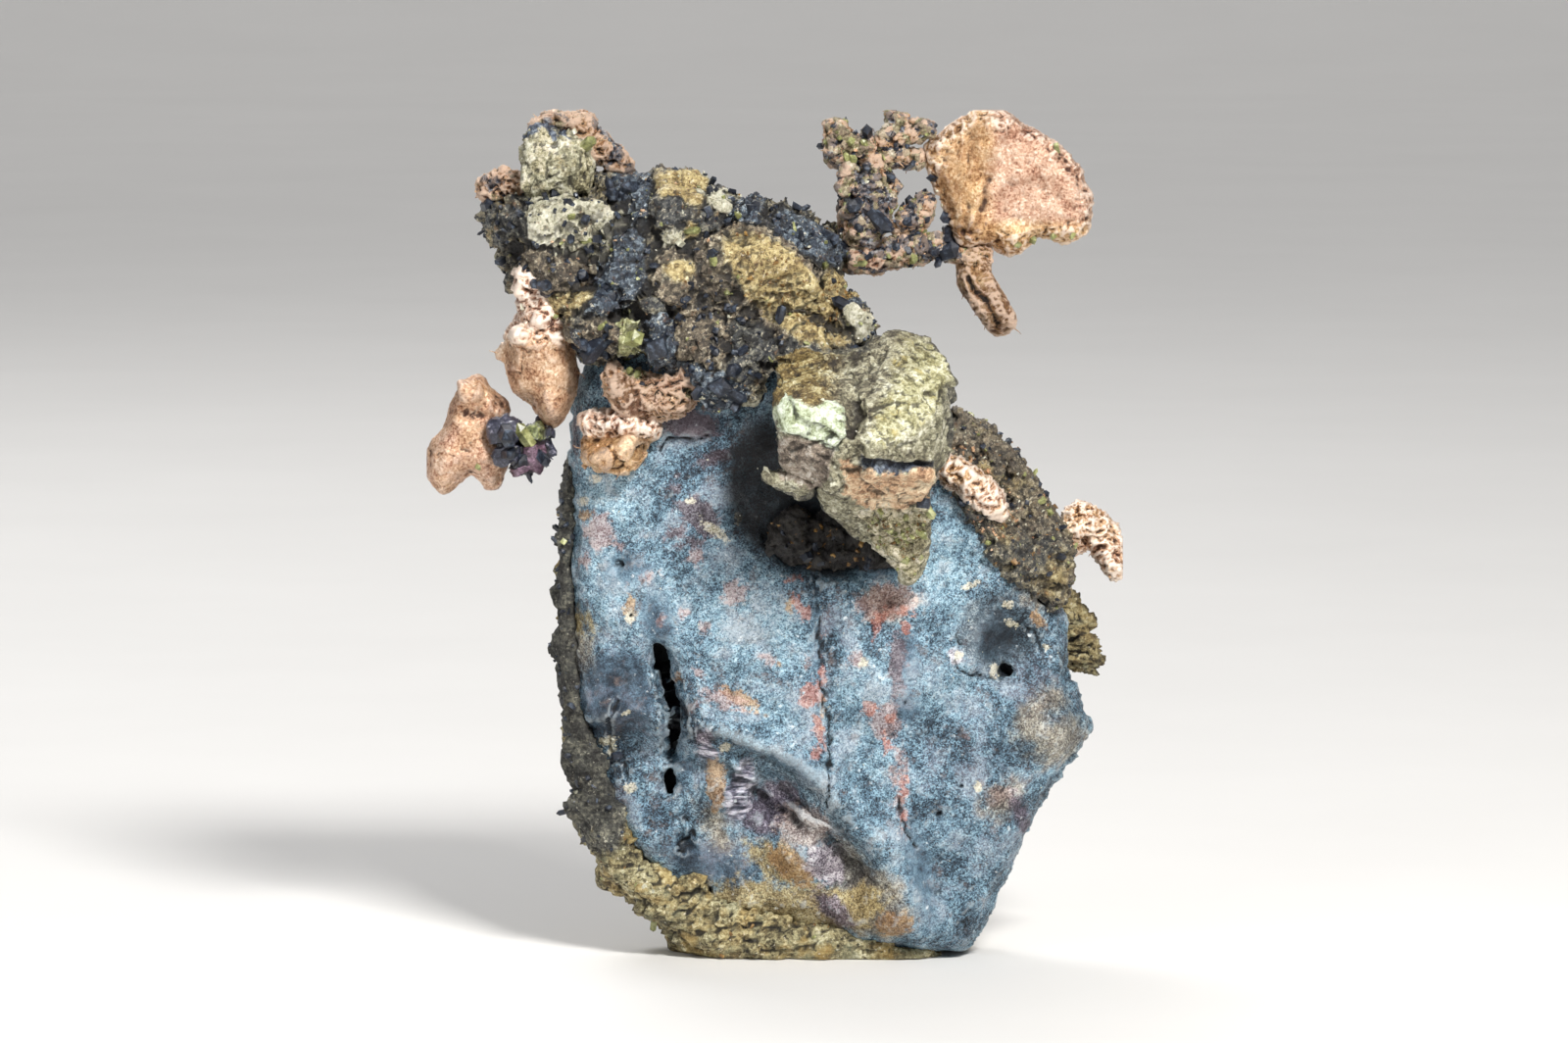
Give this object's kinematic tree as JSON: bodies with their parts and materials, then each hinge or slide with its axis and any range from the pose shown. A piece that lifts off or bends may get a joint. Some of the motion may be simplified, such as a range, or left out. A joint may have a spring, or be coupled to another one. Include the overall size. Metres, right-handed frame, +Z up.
{
  "type": "native copper nugget",
  "caption": "Native copper specimen standing on a flat broken base: a tarnished copper slab in rock, with a breccia crust, a jutting boulder and bright copper growths.",
  "frame": {"origin": "the centre of the box's underside, on the level the specimen stands on", "axes": "+Z up, the tarnished face looks along -Y, +X to the right of it"},
  "size_m": [0.0712, 0.0471, 0.0871],
  "materials": {
    "tarnished_copper": "copper under a glittering blue-grey tarnish with rust-red patches",
    "bright_copper": "bare rough copper, pink to golden",
    "dark_copper": "hackly brown copper with dark and green grains",
    "dark_rock": "blue-black and brown breccia, gritty",
    "brown_rock": "yellow-brown layered rock, gritty",
    "pale_stone": "pale yellow-green crystalline stone, broken faces",
    "crystals": "dark, green and magenta crystals with a vitreous gloss"
  },
  "bodies": {
    "root": {"copper_mass": "tarnished_copper", "rock_backing": "brown_rock", "rock_crust": "dark_rock", "crust_edge": "dark_rock", "rock_wedge": "brown_rock", "boulder": "pale_stone", "pocket_crust": "dark_rock", "stone_cap": "pale_stone", "copper_tuft": "dark_copper", "copper_beads": "dark_copper", "copper_nodule": "bright_copper", "copper_leaf_left": "bright_copper", "crystal_cluster": "crystals", "copper_wing": "dark_copper", "copper_knob": "bright_copper", "copper_seam": "bright_copper", "arm_lower": "dark_copper", "arm_column": "dark_copper", "arm_upper": "dark_copper", "arm_link": "dark_copper", "copper_leaf_large": "bright_copper", "twig_hanging": "dark_copper", "twig_right": "bright_copper"}
  },
  "joints": []
}
